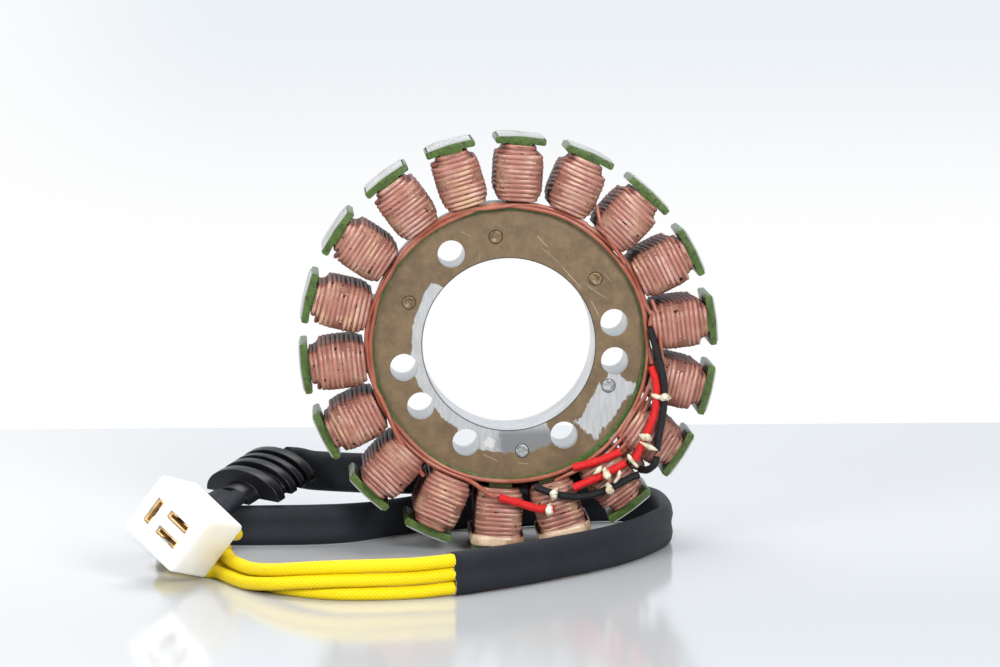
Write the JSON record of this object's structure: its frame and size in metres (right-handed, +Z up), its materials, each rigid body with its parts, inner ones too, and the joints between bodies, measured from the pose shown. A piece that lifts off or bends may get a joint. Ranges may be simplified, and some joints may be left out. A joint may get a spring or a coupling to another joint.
{
  "type": "wound stator",
  "caption": "Wound stator of a small alternator: salient-pole lamination ring with varnished coils, standing on its rim, with a sleeved wire harness, rubber grommet and blade connector.",
  "frame": {"origin": "on the surface that the stator stands on, below the centre of the stator, without its harness", "axes": "+Z up, the stator's axis along Y with the face that carries the leads towards -Y, and the connector towards -X"},
  "size_m": [0.1674, 0.1301, 0.12],
  "materials": {
    "steel": "worn",
    "rivet": "worn",
    "coat": "satin",
    "winding": "varnished",
    "red_sleeve": "matte",
    "black_sleeve": "satin",
    "lacing_cord": "matte",
    "tape": "varnished",
    "woven_sleeve": "satin",
    "yellow_wire": "matte",
    "rubber": "satin",
    "nylon": "satin",
    "brass": "bright"
  },
  "bodies": {
    "root": {"lamination_stack": "steel", "insulating_coat": "coat", "coil_01": "winding", "coil_02": "winding", "coil_03": "winding", "coil_04": "winding", "coil_05": "winding", "coil_06": "winding", "coil_07": "winding", "coil_08": "winding", "coil_09": "winding", "coil_10": "winding", "coil_11": "winding", "coil_12": "winding", "coil_13": "winding", "coil_14": "winding", "coil_15": "winding", "coil_16": "winding", "coil_17": "winding", "coil_18": "winding", "rivet_1": "rivet", "rivet_2": "rivet", "rivet_3": "rivet", "rivet_4": "rivet", "rivet_5": "rivet", "crossover_inner": "winding", "crossover_outer": "winding", "crossover_right_outer": "winding", "crossover_right_inner": "winding", "red_lead_sleeve_1": "red_sleeve", "red_lead_sleeve_2": "red_sleeve", "red_lead_sleeve_3": "red_sleeve", "red_lead_sleeve_4": "red_sleeve", "black_lead_sleeve_1": "black_sleeve", "black_lead_sleeve_2": "black_sleeve", "black_lead_sleeve_3": "black_sleeve", "lacing_tie_1": "lacing_cord", "lacing_tie_2": "lacing_cord", "lacing_tie_3": "lacing_cord", "lacing_tie_4": "lacing_cord", "lacing_tie_5": "lacing_cord", "lacing_tie_6": "lacing_cord", "tape_band_1": "tape", "tape_band_2": "tape", "rear_harness_sleeve": "woven_sleeve", "front_harness_sleeve": "woven_sleeve", "yellow_wire_1": "yellow_wire", "yellow_wire_2": "yellow_wire", "yellow_wire_3": "yellow_wire", "grommet": "rubber", "connector_housing": "nylon", "terminal_1": "brass", "terminal_2": "brass", "terminal_3": "brass"}
  },
  "joints": []
}
